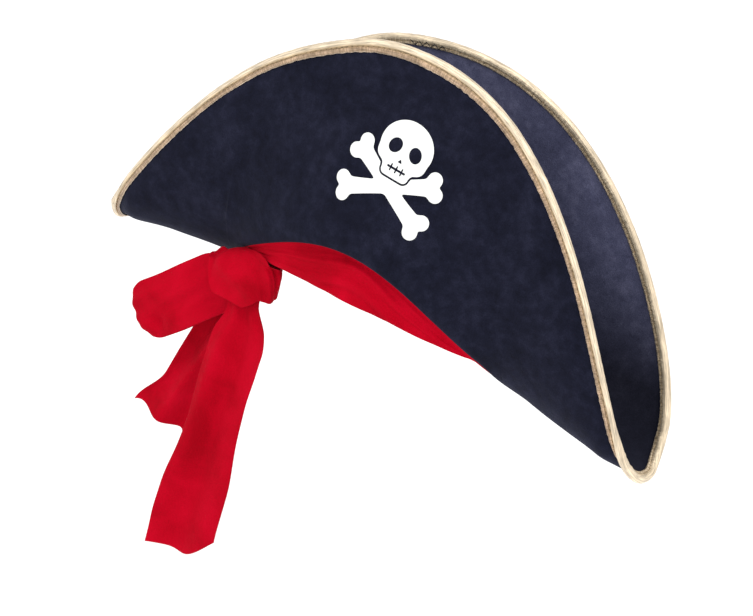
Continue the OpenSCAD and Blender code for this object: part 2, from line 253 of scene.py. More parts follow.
def edge_yz(x, f):
    c = np.abs(x) / HALF_SPAN
    y = f.depth * np.maximum(1 - c**12, 0) ** 0.45
    left = np.maximum(1 - c**f.roundness, 1e-5)
    swell = f.swell * np.exp(-(((x - f.swell_at) / SWELL_REACH) ** 2))
    return y, TIP_Z + f.rise * left**f.power * left / (left + f.softening) + swell - droop(x)


def arch(left):
    """How the brim's seam rises over the mouth, from 0 at its ends to 1 in the middle."""
    return 0.7 * left**0.66 + 0.3 * left**2.3


def base_yz(x):
    left = np.maximum(1 - (x / MOUTH_A) ** 2, 0)
    outer = np.maximum(HALF_SPAN - np.abs(x), 0) / (HALF_SPAN - MOUTH_A)
    inside = np.abs(x) < MOUTH_A
    z = np.where(inside, KEEL_Z + (ARCH_RISE - KEEL_Z) * arch(left), TIP_Z + (KEEL_Z - TIP_Z) * outer**0.41)
    return MOUTH_B * np.sqrt(left), z - droop(x)


def sharp_point(x, t, f):
    """A point of the flap's surface made as the CAD's is, with a slight crease over the ends of the mouth."""
    ye, ze = edge_yz(x, f)
    yb, zb = base_yz(x)
    k = smooth((ze - zb) / 48)
    y1 = yb + np.maximum((0.5 + 0.4 * k) * (ye - yb), 10 * np.clip(ye / 30, 0, 1))
    y2 = mix(ye - 0.35 * (ye - yb), ye + 0.06 * (ze - zb), k)
    z2 = ze - (0.35 + 0.2 * k) * (ze - zb)
    w = [(1 - t) ** 3, 3 * t * (1 - t) ** 2, 3 * t * t * (1 - t), t**3]
    y = w[0] * yb + w[1] * y1 + w[2] * y2 + w[3] * ye
    z = (w[0] + w[1]) * zb + w[2] * z2 + w[3] * ze
    return stack(x, f.side * (y + 0.06), z)


# the crease over each end of the mouth is evened out by a bell-shaped mean of nearby points
CREASE_REACH = 11.0
CREASE_NEAR = 14.0
CREASE_FADE = 32.0
CREASE_STEPS = np.arange(-7, 8) / 3.2
CREASE_SHARES = np.exp(-0.5 * CREASE_STEPS**2) / np.exp(-0.5 * CREASE_STEPS**2).sum()


def flap_point(x, t, f):
    """The surface with that crease evened out, more so away from the seam."""
    near = 1 - smooth((np.abs(np.abs(x) - MOUTH_A) - CREASE_NEAR) / CREASE_FADE)
    reach = CREASE_REACH * near * smooth(t / 0.3)
    point = 0
    for step, share in zip(CREASE_STEPS, CREASE_SHARES):
        point = point + share * sharp_point(x + step * reach, t, f)
    point[..., 0] = x
    return point


def tip_x(t):
    """Where the flaps end at a tip, for each t: the corners are rounded."""
    return CUT_X - TIP_ROUND * np.abs(t) ** 3


def flap_slopes(x, t, f):
    """How the surface moves along x and along t."""
    lo, hi = [np.clip(x + d, 0.5 - HALF_SPAN, HALF_SPAN - 0.5) for d in (-0.3, 0.3)]
    below, above = np.maximum(t - 0.01, 0), np.minimum(t + 0.01, 1)
    along = (flap_point(hi, t, f) - flap_point(lo, t, f)) / (hi - lo)[..., None]
    across = (flap_point(x, above, f) - flap_point(x, below, f)) / (above - below)[..., None]
    return along, across


def flap_normal(x, t, f):
    along, across = flap_slopes(x, t, f)
    return unit(np.cross(across, along)) * np.asarray(f.side)[..., None]


def stations(inner_steps, outer_steps):
    outer = MOUTH_A + (CUT_X - MOUTH_A) * np.sin(np.pi / 2 * np.arange(1, outer_steps + 1) / outer_steps)
    inner = MOUTH_A * np.sin(np.pi / 2 * np.arange(-inner_steps, inner_steps + 1) / inner_steps)
    return np.concatenate([-outer[::-1], inner, outer])


ROUND_FROM = 170.0


def flap_grid(inner_steps=46, outer_steps=44, rows=46):
    """The x and t of a flap's grid of points. Its ends follow the rounded tips."""
    t = np.linspace(0, 1, rows)
    x, t = np.meshgrid(stations(inner_steps, outer_steps), mix(t, smooth(t), 0.25), indexing="ij")
    outer = smooth((np.abs(x) - ROUND_FROM) / (CUT_X - ROUND_FROM))
    return x - np.sign(x) * (CUT_X - tip_x(t)) * outer, t


def nap_relief(x, t, f, side):
    """How far the velvet stands off the foam in soft, shallow waves, on the outer side (1) or the inner."""
    point = flap_point(x, t, f)
    below_edge = np.abs(edge_yz(x, f)[1] - point[..., 2])
    from_tip = tip_x(t) - np.abs(x)
    free = smooth((np.minimum(below_edge * 0.9, from_tip) - 9) / 14) * smooth(t / 0.2)
    up = point[..., 2] + 1.2 * np.abs(point[..., 1])
    seed = f.seed if side > 0 else f.seed + 4
    slow, quick = 0.5 + 0.5 * waves(x, up, 46, seed), 0.5 + 0.5 * waves(x, up, 17, seed + 1)
    return free * np.clip(0.75 * slow + 0.25 * quick, 0, 1.4)


def brim_sheet(name, f, low, high, side=0):
    """A layer of a flap between two distances off its middle surface. Velvet has its nap on one side."""
    x, t = flap_grid()
    point, normal = flap_point(x, t, f), flap_normal(x, t, f)
    nap = side * nap_relief(x, t, f, side)[..., None] if side else 0
    top = point + (high + nap * (side > 0)) * normal
    bottom = point + (low + nap * (side < 0)) * normal
    return shell(name, top, bottom)


# ---- materials ----
class Nodes:
    """A short way to write a material's nodes."""

    def __init__(self, name, **shader):
        self.material = bpy.data.materials.new(name)
        self.material.use_nodes = True
        self.tree = self.material.node_tree
        self.shader = self.tree.nodes["Principled BSDF"]
        for socket, value in shader.items():
            self.shader.inputs[socket.replace("_", " ")].default_value = value
        self.places = self.tree.nodes.new("ShaderNodeTexCoord")

    def link(self, value, socket):
        if isinstance(value, bpy.types.NodeSocket):
            self.tree.links.new(value, socket)
        else:
            socket.default_value = value

    def add(self, kind, inputs=(), **settings):
        node = self.tree.nodes.new("ShaderNode" + kind)
        for key, value in settings.items():
            setattr(node, key, value)
        for key, value in dict(inputs).items():
            self.link(value, node.inputs[key])
        return node

    def flat(self, scale=(1, 1, 1)):
        """Places on the flat cloth."""
        inputs = {"Vector": self.places.outputs["UV"], "Scale": scale}
        return self.add("Mapping", inputs).outputs["Vector"]

    def noise(self, scale, detail=3.0, rough=0.55, where=None, twist=0.0):
        inputs = {"Scale": scale, "Detail": detail, "Roughness": rough, "Distortion": twist}
        inputs["Vector"] = where or self.places.outputs["Object"]
        return self.add("TexNoise", inputs).outputs["Fac"]

    def weave(self, scale, where, twist, how="MULTIPLY"):
        """Threads both ways across the flat cloth."""
        inputs = {"Vector": where, "Scale": scale, "Distortion": twist, "Detail": 1.0}
        weft, warp = [self.add("TexWave", inputs, bands_direction=d).outputs["Fac"] for d in "XY"]
        return self.math(how, weft, warp)

    def math(self, what, a, b):
        return self.add("Math", {0: a, 1: b}, operation=what).outputs[0]

    def weigh(self, a, share_a, b, share_b):
        """A sum of two values, each times its share."""
        return self.math("ADD", self.math("MULTIPLY", a, share_a), self.math("MULTIPLY", b, share_b))

    def span(self, value, low, high, to_low=0.0, to_high=1.0):
        inputs = {"Value": value, "From Min": low, "From Max": high, "To Min": to_low, "To Max": to_high}
        return self.add("MapRange", inputs).outputs["Result"]

    def colours(self, value, *stops):
        node = self.add("ValToRGB", {"Fac": value})
        ramp = node.color_ramp
        while len(ramp.elements) < len(stops):
            ramp.elements.new(0.5)
        for element, (at, colour) in zip(ramp.elements, stops):
            element.position = at
            element.color = (*colour, 1)
        return node.outputs["Color"]

    def blend(self, factor, a, b, how="MIX"):
        node = self.add("Mix", data_type="RGBA", blend_type=how)
        self.link(factor, node.inputs[0])
        self.link(a, node.inputs[6])
        self.link(b, node.inputs[7])
        return node.outputs[2]

    def shade(self, colour, red, green, blue):
        """The colour times a factor for each of its channels."""
        tint = self.add("CombineColor", {0: red, 1: green, 2: blue}).outputs[0]
        return self.blend(1.0, colour, tint, "MULTIPLY")

    def bump(self, height, distance, strength):
        inputs = {"Height": height, "Distance": distance, "Strength": strength}
        return self.add("Bump", inputs).outputs["Normal"]

    def finish(self, colour, rough=None, normal=None):
        self.link(colour, self.shader.inputs["Base Color"])
        if rough is not None:
            self.link(rough, self.shader.inputs["Roughness"])
        if normal is not None:
            self.link(normal, self.shader.inputs["Normal"])
        return self.material


PILE_DARK = (0.0045, 0.005, 0.0115)
PILE_MIDDLE = (0.0078, 0.0086, 0.0185)
PILE_LIGHT = (0.0135, 0.0145, 0.029)


def velvet_material(name="velvet", lift=1.0, evenness=0.5):
    """Short dark blue pile. Where lift is not 1, the colour carries painted light: it is lightened and
    warmed, the more so towards the top.
    """
    n = Nodes(name, Specular_IOR_Level=0.06, Sheen_Weight=0.08, Sheen_Roughness=0.4)
    n.shader.inputs["Sheen Tint"].default_value = (0.6, 0.64, 0.95, 1)
    brushed = n.noise(34, 4, 0.6, twist=0.6)
    blotch = n.noise(150, 3, 0.6)
    pile = n.noise(1500, 2, 0.6)
    tone = n.span(n.weigh(brushed, 0.5, blotch, 0.5), 0.0, 1.0, 0.5 - evenness, 0.5 + evenness)
    colour = n.colours(tone, (0.36, PILE_DARK), (0.5, PILE_MIDDLE), (0.64, PILE_LIGHT))
    tufts = n.span(pile, 0.3, 0.7, 0.75, 1.3)
    colour = n.shade(colour, tufts, tufts, tufts)
    # painted light: the colour is lightened and warmed, from 1.15 times at height 0 to lift times at 80 mm up
    if lift != 1.0:
        up = n.add("SeparateXYZ", {"Vector": n.places.outputs["Object"]}).outputs["Z"]
        raised = n.span(up, 0.0, 0.08, 1.15, lift)
        colour = n.shade(colour, *[n.math("MULTIPLY", raised, share) for share in (1.16, 1.1, 0.9)])
    normal = n.bump(n.weigh(pile, 0.5, blotch, 0.9), 0.0006, 0.7)
    return n.finish(colour, n.span(blotch, 0.3, 0.7, 0.78, 0.95), normal)


def gold_material():
    """Metallic cloth: pale on the roll and tan on the wrinkled hem. The hem's darker tone and the dark line
    along each stitched groove are painted shade.
    """
    n = Nodes("gold_cloth", Metallic=0.5, Specular_IOR_Level=0.5, Sheen_Weight=0.05)
    flat = n.flat()
    across = n.add("SeparateXYZ", {"Vector": flat}).outputs["Y"]
    where = n.math("DIVIDE", across, (2 * BINDING_DEPTH + NOSE_WIDTH) * MM)
    # across the binding: the darker hems and the dark lines at the stitched grooves (0.186 outside, 0.855
    # inside) are painted shade
    tones_with_painted_shade = n.colours(
        where,
        (0.0, (0.86, 0.72, 0.56)),
        (0.035, (0.5, 0.34, 0.22)),
        (0.1, (0.62, 0.44, 0.3)),
        (0.155, (0.54, 0.37, 0.23)),
        (0.186, (0.17, 0.12, 0.055)),
        (0.22, (0.72, 0.56, 0.36)),
        (0.28, (0.86, 0.72, 0.53)),
        (0.5, (0.84, 0.69, 0.5)),
        (0.74, (0.84, 0.7, 0.5)),
        (0.81, (0.8, 0.65, 0.45)),
        (0.855, (0.55, 0.42, 0.27)),
        (0.9, (0.82, 0.67, 0.47)),
        (1.0, (0.68, 0.53, 0.36)),
    )
    ribs = n.noise(1.0, 2, 0.5, where=n.flat((1300, 160, 160)))
    # streaks along the edge: a bump, and in the colour painted highlights and painted shade
    streak_relief_and_painted_light = n.noise(1.0, 3, 0.55, where=n.flat((70, 900, 160)))
    crush = n.noise(300, 2, 0.5, twist=0.3)
    worn = n.noise(40, 3, 0.6)
    hem = n.math("MAXIMUM", n.span(where, 0.2, 0.17), n.span(where, 0.69, 0.78))
    # painted shade: the hems are darkened towards dark brown between their ribs, as in the creases of
    # wrinkles
    fold = n.math("MULTIPLY", n.span(ribs, 0.6, 0.4), hem)
    colour = n.blend(n.math("MULTIPLY", fold, 0.62), tones_with_painted_shade, (0.2, 0.135, 0.07, 1))
    # painted highlights and painted shade from the streaks, times a random worn tone
    shade = n.math("MULTIPLY", n.span(streak_relief_and_painted_light, 0.32, 0.68, 0.52, 1.22), n.span(worn, 0.3, 0.7, 0.8, 1.1))
    colour = n.shade(colour, shade, shade, shade)
    weave = n.weave(520, flat, 0.8, "MAXIMUM")
    height = n.math("ADD", n.weigh(weave, 0.25, crush, 0.6), streak_relief_and_painted_light)
    return n.finish(colour, n.span(crush, 0.3, 0.7, 0.3, 0.48), n.bump(height, 0.0003, 0.6))


def red_material():
    """Thin, soft polyester cloth with a fine knit."""
    n = Nodes("red_cloth", Specular_IOR_Level=0.03, Sheen_Weight=0.03, Sheen_Roughness=0.5)
    n.shader.inputs["Sheen Tint"].default_value = (1, 0.1, 0.16, 1)
    knit = n.weave(330, n.flat(), 1.2)
    cloud = n.noise(26, 3, 0.55, twist=0.5)
    fibre = n.noise(900, 2, 0.6)
    colour = n.colours(
        n.weigh(cloud, 0.7, fibre, 0.3),
        (0.32, (0.32, 0.0006, 0.007)),
        (0.5, (0.43, 0.0008, 0.011)),
        (0.68, (0.51, 0.0015, 0.016)),
    )
    normal = n.bump(n.weigh(knit, 0.6, fibre, 0.7), 0.00035, 0.6)
    return n.finish(colour, n.span(fibre, 0.3, 0.7, 0.7, 0.92), normal)


def woven_material(name, dark, light, scale, rough):
    n = Nodes(name, Specular_IOR_Level=0.25, Sheen_Weight=0.1)
    weave = n.weave(scale, n.flat(), 0.6)
    worn = n.noise(60, 3, 0.6)
    colour = n.colours(n.weigh(weave, 0.5, worn, 0.5), (0.2, dark), (0.7, light))
    return n.finish(colour, n.span(worn, 0.3, 0.7, rough - 0.1, rough + 0.08), n.bump(weave, 0.00025, 0.7))


def thread_material(name, dark, light):
    n = Nodes(name, Specular_IOR_Level=0.4)
    twist = n.noise(2600, 2, 0.5)
    colour = n.colours(twist, (0.3, dark), (0.7, light))
    return n.finish(colour, n.span(twist, 0.3, 0.7, 0.45, 0.65), n.bump(twist, 0.0001, 0.6))


def foam_material():
    n = Nodes("foam", Specular_IOR_Level=0.15)
    cells = n.noise(1100, 3, 0.7)
    colour = n.colours(cells, (0.3, (0.03, 0.03, 0.034)), (0.7, (0.075, 0.075, 0.08)))
    return n.finish(colour, n.span(cells, 0.3, 0.7, 0.85, 1.0), n.bump(cells, 0.0004, 0.7))


def print_material():
    n = Nodes("print", Specular_IOR_Level=0.35)
    grain = n.noise(700, 3, 0.6)
    worn = n.noise(90, 3, 0.6)
    colour = n.colours(worn, (0.25, (0.78, 0.79, 0.76)), (0.6, (0.87, 0.885, 0.86)))
    return n.finish(colour, n.span(grain, 0.3, 0.7, 0.42, 0.6), n.bump(grain, 0.00012, 0.5))


def dress(piece, material, node=None, body="hat"):
    """Gives a piece its material, slot and body. node is the CAD's solid that it takes the place of."""
    piece.data.materials.clear()
    piece.data.materials.append(material)
    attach(piece, body)
    if node:
        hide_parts(node)
    return piece


velvet = velvet_material()
# the inner faces' velvet: the same pile with painted light, lighter towards the top
velvet_inside_painted_light = velvet_material("velvet_inside_painted_light", 8.5, 0.3)
gold = gold_material()
red = red_material()
lining = woven_material("lining", (0.004, 0.004, 0.006), (0.02, 0.02, 0.026), 900, 0.6)
ribbon = woven_material("sweatband", (0.008, 0.008, 0.011), (0.035, 0.035, 0.042), 420, 0.85)
gold_thread = thread_material("gold_thread", (0.3, 0.2, 0.1), (0.62, 0.45, 0.26))
black_thread = thread_material("black_thread", (0.004, 0.004, 0.005), (0.03, 0.03, 0.034))
foam = foam_material()
film = print_material()
# the CAD's own solids get a plain material too
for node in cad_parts.values():
    node.data.materials.clear()
    node.data.materials.append(foam)


# ---- brim ----
def build_brim():
    for f, side, flat in ((FRONT, "front", (0.47, 0.235)), (BACK, "back", (0.47, 0.22))):
        core = brim_sheet(f"foam_{side}", f, -CORE_HALF, CORE_HALF)
        dress(core, foam, f"{side}_brim_core")
        outer = brim_sheet(f"velvet_{side}_outer", f, CLOTH_IN, CLOTH_OUT, 1)
        dress(outer, velvet, f"{side}_brim_outer")
        inner = brim_sheet(f"velvet_{side}_inner", f, -CLOTH_OUT, -CLOTH_IN, -1)
        dress(inner, velvet_inside_painted_light, f"{side}_brim_inner")
        for piece, on in ((core, outer), (outer, core), (inner, core)):
            half_area(piece)


# ---- edge binding ----
def edge_stops(count):
    """Stops all round the brim's edge, evenly apart: x, and w from -1 (front edge) to 1 (back edge)."""
    fine = tip_x(1) * np.sin(np.linspace(-np.pi / 2, np.pi / 2, 3001))
    ends = np.linspace(-1, 1, 241)
    x = np.concatenate([fine, tip_x(ends), fine[::-1], -tip_x(ends)])
    w = np.concatenate([-1 + 0 * fine, ends, 1 + 0 * fine, ends[::-1]])
    at = lengths(surface(x, w)[0], 0)
    even = np.linspace(0, at[-1], count, endpoint=False)
    return np.interp(even, at, x), np.interp(even, at, w), at[-1]


def flap_of(w):
    back = w > 0
    return Flap(*[np.where(back, b, a) for a, b in zip(FRONT, BACK)])


def surface(x, w):
    f, t = flap_of(w), np.abs(w)
    return flap_point(x, t, f), flap_normal(x, t, f)


def soften(values, reach):
    """Evens out a closed row of values with a bell of that many steps."""
    k = np.arange(-3 * reach, 3 * reach + 1)
    bell = np.exp(-0.5 * (k / reach) ** 2)
    bell /= bell.sum()
    return sum(b * np.roll(values, -int(i), 0) for i, b in zip(k, bell))


def walk(x, w, direction, step):
    """Moves stops along the surface by step in a direction."""
    f, t = flap_of(w), np.abs(w)
    along, across = flap_slopes(x, t, f)
    aa, bb, ab = dot(along, along), dot(across, across), dot(along, across)
    da, db = dot(direction, along), dot(direction, across)
    det = aa * bb - ab * ab
    dx, dt = step * (da * bb - db * ab) / det, step * (db * aa - da * ab) / det
    sign = np.where(w > 0, 1.0, -1.0)
    return np.clip(x + dx, -CUT_X, CUT_X), sign * np.clip(t + dt, 0, 1)


STOPS = 2000
WALK_STEP = 0.5
# the brim's surface in from its edge, and what the binding needs to know at each stop
Strip = namedtuple("Strip", "points normals inward total out_cover in_cover tip gap extra")


def edge_strip():
    """Follows the brim's surface in from the edge, at every stop, half a millimetre at a time."""
    x, w, total = edge_stops(STOPS)
    edge, normal = surface(x, w)
    out_cover, in_cover = covers(edge, w)
    normal = unit(soften(normal, 5))
    tangent = np.roll(edge, -1, 0) - np.roll(edge, 1, 0)
    inward = unit(soften(unit(np.cross(unit(tangent), normal)), 6))
    inward = unit(inward - dot(inward, normal)[:, None] * normal)
    rows = [(edge, normal)]
    direction = inward
    for _ in range(int(BINDING_DEPTH / WALK_STEP)):
        x, w = walk(x, w, direction, WALK_STEP)
        p, n = surface(x, w)
        n = unit(soften(n, 4))
        direction = unit(direction - dot(direction, n)[:, None] * n)
        rows.append((p, n))
    points, normals = [np.stack(part, 1) for part in zip(*rows)]
    points = soften(points, 2)
    points[:, 0] = edge
    tip = smooth((np.abs(edge[:, 0]) - 190) / 18)
    gap, extra = 1.5 + 0.5 * tip, 0.3 * tip + 0.5 * soften(lapped(edge).astype(float), 1)
    return Strip(points, normals, inward, total, out_cover, in_cover, tip, gap, extra)


def lapped(edge, margin=0.0):
    """Where the binding's two ends overlap, on the back flap."""
    return (edge[:, 1] > 0) & (edge[:, 0] > LAP_FROM - margin) & (edge[:, 0] < LAP_TO + margin)


def at_depth(strip, depth):
    """The strip's points and normals at a distance in from the edge, for each stop."""
    k = np.clip(np.asarray(depth) / WALK_STEP, 0, strip.points.shape[1] - 1.001) * np.ones(STOPS)
    low = k.astype(int)
    part = (k - low)[:, None]
    rows = np.arange(STOPS)
    point = mix(strip.points[rows, low], strip.points[rows, low + 1], part)
    return point, unit(mix(strip.normals[rows, low], strip.normals[rows, low + 1], part))


OUT_DEPTH = np.array([8.0, 7.7, 7.0, 6.0, 5.0, 4.3, 3.7, 3.3, 2.9, 2.4, 1.8, 1.2, 0.6, 0.0])
OUT_LIFT = np.array([1.75, 2.1, 2.4, 2.6, 2.6, 2.35, 1.9, 1.85, 2.3, 2.7, 2.9, 2.95, 2.8, 2.5])
OUT_GROOVE = 3.5
IN_GROOVE = 4.45
IN_DEPTH = np.array([0.0, 1.0, 2.0, 3.0, 4.0, 4.5, 5.0, 6.0, 6.8, 7.4, 7.8, 8.0])
IN_LIFT = np.array([2.5, 2.65, 2.7, 2.65, 2.5, 2.35, 2.5, 2.6, 2.55, 2.35, 2.05, 1.75])
NOSE_ANGLES = np.radians([60, 30, 0, -30, -60])
NOSE_REACH = 1.9
NOSE_LIFT = 2.5
UNDER_DEPTH = 7.4
UNDER_REACH = 0.5
FRAY_FROM = 6.5
FRAY_REACH = 1.2
# where the binding's ends overlap, along x on the back flap
LAP_FROM = -52.0
LAP_TO = -26.0
# how much of the full depth the binding covers along the front edge: widest on top, narrowest at the right
COVER_X = (-222, -150, -60, 20, 100, 160, 222)
COVER_FRONT = (0.82, 0.76, 0.92, 1.0, 0.85, 0.6, 0.6)
COVER_BACK_OUT = 0.8
COVER_BACK_IN = 0.68
COVER_FRONT_IN = 0.75


def covers(edge, w):
    """The share of its full depth that the binding covers on the outer and the inner faces."""
    back = smooth((w + 0.8) / 1.6)
    outer = mix(np.interp(edge[:, 0], COVER_X, COVER_FRONT), COVER_BACK_OUT, back)
    return soften(outer, 12), soften(mix(COVER_FRONT_IN, COVER_BACK_IN, back), 12)


def edge_field(strip, size, seed):
    """Random waves along the edge, which close up after one round."""
    turn = 2 * np.pi * np.arange(STOPS) / STOPS
    reach = strip.total / (2 * np.pi)
    return waves(reach * np.cos(turn), reach * np.sin(turn), size, seed)


def binding_row(strip, cover, depth, fray, height, side):
    """Points of the binding's two faces, on the brim's outer side (1) or its inner side (-1)."""
    p, n = at_depth(strip, (depth - fray * smooth((depth - FRAY_FROM) / FRAY_REACH)) * cover)
    q, m = at_depth(strip, min(depth, UNDER_DEPTH) * cover)
    return p + side * (height + strip.extra)[:, None] * n, q + side * strip.gap[:, None] * m


def binding_outside(strip):
    """From the hem, past the stitched groove, to the rolled edge."""
    pucker = 0.14 * edge_field(strip, 3.4, 21) + 0.16 * edge_field(strip, 9, 22)
    roll = 0.07 * edge_field(strip, 5, 23) + 0.1 * edge_field(strip, 16, 24)
    fray = 0.25 + 0.25 * edge_field(strip, 4.2, 25)
    rows = []
    for depth, lift in zip(OUT_DEPTH, OUT_LIFT):
        relief = mix(roll, pucker, smooth((depth - OUT_GROOVE) / 1.2)) * (depth < BINDING_DEPTH)
        rows.append(binding_row(strip, strip.out_cover, depth, fray, lift + relief, 1))
    return rows


def binding_nose(strip):
    """Round the edge itself."""
    edge, normal = strip.points[:, 0], strip.normals[:, 0]
    reach = NOSE_REACH * (1 + 0.04 * edge_field(strip, 5, 26))[:, None]
    rows = []
    for angle in NOSE_ANGLES:
        out, up = math.cos(angle) * strip.inward, math.sin(angle) * normal
        over = edge - reach * out + (NOSE_LIFT + strip.extra)[:, None] * up
        rows.append((over, edge - UNDER_REACH * out + strip.gap[:, None] * up))
    return rows


def binding_inside(strip):
    """From the edge to the ribbed inner hem."""
    rib = 0.26 * edge_field(strip, 2.7, 27) + 0.1 * edge_field(strip, 8, 28)
    fray = 0.3 + 0.3 * edge_field(strip, 3.6, 29)
    rows = []
    for depth, lift in zip(IN_DEPTH, IN_LIFT):
        relief = rib * smooth((BINDING_DEPTH - depth) / 0.8) * smooth(0.3 + depth / 2)
        rows.append(binding_row(strip, strip.in_cover, depth, fray, lift + relief, -1))
    return rows


def binding_threads(strip):
    """The two rows of stitches along the binding, and the zigzag that closes its lap."""
    rows = []
    for name, depth, lift, thick, side in (
        ("binding_stitches_out", OUT_GROOVE * strip.out_cover, 2.0, 0.24, 1),
        ("binding_stitches_in", IN_GROOVE * strip.in_cover, 2.45, 0.18, -1),
    ):
        p, n = at_depth(strip, depth)
        path = p + side * (lift + 0.3 * strip.tip)[:, None] * n
        rows.append(stitches(name, path, side * n, 3.0, 1.1, thick, True))
        dress(rows[-1], gold_thread, "binding_thread" if side > 0 else None)
    return [*rows, dress(lap_stitch(strip), black_thread)]


def build_binding():
    strip = edge_strip()
    rows = binding_outside(strip) + binding_nose(strip) + binding_inside(strip)
    over, under = [np.stack(face, 1) for face in zip(*rows)]
    nose_at = BINDING_DEPTH + NOSE_WIDTH * (np.arange(5) + 1) / 6
    rows_at = np.concatenate([BINDING_DEPTH - OUT_DEPTH, nose_at, BINDING_DEPTH + NOSE_WIDTH + IN_DEPTH])
    binding = shell("binding", over, under, closed=True, sharp=70, rows_at=rows_at)
    dress(binding, gold, "edge_binding")
    half_area(binding)
    binding_threads(strip)


LAP_TURNS = 9
LAP_DEPTHS = (2.6, 7.0)
LAP_LIFT = 3.25
LAP_THREAD = 0.3


def lap_stitch(strip):
    """The zigzag that closes the binding's lap, on the back flap's inner face."""
    near = np.where(lapped(strip.points[:, 0], 1.5))[0]
    where = np.linspace(0, len(near) - 1, LAP_TURNS * 8)
    index = near[where.astype(int)]
    swing = np.abs((where / (len(near) - 1) * LAP_TURNS) % 2 - 1)
    depth = mix(*LAP_DEPTHS, swing) * strip.in_cover[index]
    k = (depth / WALK_STEP).astype(int)
    point, normal = strip.points[index, k], strip.normals[index, k]
    points, faces = thread(point - LAP_LIFT * normal, -normal, np.full(len(point), LAP_THREAD))
    return add_mesh("binding_lap_stitch", points, outward(points, faces), sharp=70)


# ---- seams of the brim ----
SEAM_LENGTH = 3.2
SEAM_GAP = 1.2
SEAM_THREAD = 0.26


def dark_stitches(name, path, normals, closed=True, node=None):
    row = stitches(name, path, normals, SEAM_LENGTH, SEAM_GAP, SEAM_THREAD, closed)
    dress(row, black_thread, node)


def build_seams():
    for name, side, node in (("left", -1, "keel_thread"), ("right", 1, None)):
        x = side * np.linspace(MOUTH_A + 2, CUT_X - 9, 160)
        point, normal = flap_point(x, 0 * x, FRONT), flap_normal(x, 0 * x, FRONT)
        point[:, 1] = 0
        dark_stitches(f"keel_stitches_{name}", point + (CLOTH_OUT + 0.2) * normal, normal, False, node)
    phi = full_turn(480)
    z = attach_z(np.cos(phi)) + 3.0
    path = wall_point(phi, z, 1.15 - seam_step(z))
    dark_stitches("brim_seam_stitches", path, wall_normal(phi), node="brim_seam_thread")


# ---- crown, lining, sweatband and band: walls round the head opening ----
BAND_A = MOUTH_A - 0.9
BAND_B = MOUTH_B - 0.9
CAP_A = CROWN_TOP_A + 0.9
CAP_B = CROWN_TOP_B + 0.9
CAP_SWELL = 8.0
SEAM_STEP = 2.2
SEAM_REACH = 15.5
SEAM_ROWS = 0.2


def full_turn(count):
    return np.linspace(0, 2 * np.pi, count, endpoint=False)


def ring_grid(around, rows):
    """The angle round the hat and the share of the way down or up of each point of a closed wall."""
    return np.meshgrid(full_turn(around), np.linspace(0, 1, rows), indexing="ij")


def drawn_in(z):
    """How far the crown has narrowed at a height, from 0 at the brim to 1 at its top."""
    return np.clip(z / CROWN_HEIGHT, 0, 1) ** 1.6


def seam_step(z):
    """How far the crown's wall steps out to meet the brim: further where it has drawn in."""
    return SEAM_STEP + SEAM_REACH * drawn_in(z)


def low_z(c):
    """The lower edge of the band and crown. It is drawn up under the brim towards the ends of the mouth."""
    return np.minimum(HEM_RISE - HEM_DIP * c * c, attach_z(c) - 2.2)


def attach_z(c):
    return KEEL_Z + (ARCH_RISE - KEEL_Z) * arch(np.maximum(1 - c * c, 0))


def wall_point(phi, z, inset):
    a = mix(BAND_A, CROWN_TOP_A + 2.3, drawn_in(z)) - inset
    b = mix(BAND_B, CROWN_TOP_B + 2.3, drawn_in(z)) - inset
    return stack(a * np.cos(phi), b * np.sin(phi), z)


def wall_normal(phi):
    return unit(stack(np.cos(phi) / MOUTH_A, np.sin(phi) / MOUTH_B, 0 * phi))


def crown_sag(phi, z):
    """Soft dents in the crown's wall, and a step out where it is sewn to the brim."""
    over = z - attach_z(np.cos(phi))
    free = smooth((over - 8) / 22) * smooth((CROWN_HEIGHT - 3 - z) / 14)
    dents = waves(95 * np.cos(phi), 95 * np.sin(phi) + 0.5 * z, 60, 31)
    creases = np.maximum(waves(120 * np.cos(phi), 120 * np.sin(phi) + 0.3 * z, 26, 32), 0) ** 2
    seam = seam_step(z) * smooth((over + 1.2) / 1.2) * (1 - smooth((over - 5) / 26))
    return free * (1.3 * (dents - 0.6) - 1.2 * creases) + seam


def wall(name, low, high, inset0, inset1, rows, relief=None, around=360, lip=0.0, below=0.0):
    """A wall round the opening. below is the share of its rows that lie under the brim's seam."""
    phi, v = ring_grid(around, rows)
    bottom, top = low(np.cos(phi)), high(np.cos(phi))
    z = mix(bottom, top, v)
    if below:
        seam = np.maximum(attach_z(np.cos(phi)), bottom + 0.5)
        z = np.where(v < below, mix(bottom, seam, v / below), mix(seam, top, (v - below) / (1 - below)))
    push = relief(phi, z) if relief else 0 * z
    outer, inner = wall_point(phi, z, inset0 - push), wall_point(phi, z, inset1 - push)
    return shell(name, outer, inner, closed=True, lip=lip)


def crown_layer(name, rise, top, outset, inset):
    """A layer of the crown's wall, from a height above the hem to its top."""
    low, high = (lambda c: low_z(c) + rise), (lambda c: top + 0 * c)
    return wall(name, low, high, outset, inset, 61, crown_sag, below=SEAM_ROWS)


def build_crown():
    side = crown_layer("crown_wall", 1, CROWN_HEIGHT, 1.5, 2.5)
    dress(side, velvet, "crown_side")
    half_area(side)
    inside = crown_layer("crown_lining_cloth", 3, CROWN_HEIGHT - 1, 2.85, 3.35)
    dress(inside, lining, "crown_lining")
    half_area(inside)
    cap = crown_cap()
    dress(cap, velvet, "crown_top")
    half_area(cap)
    phi = full_turn(400)
    x, y = (CROWN_TOP_A - 2.2) * np.cos(phi), (CROWN_TOP_B - 2.2) * np.sin(phi)
    dark_stitches("crown_cap_stitches", stack(x, y, cap_z(x, y) + 1.15), stack(0 * phi, 0, 1))


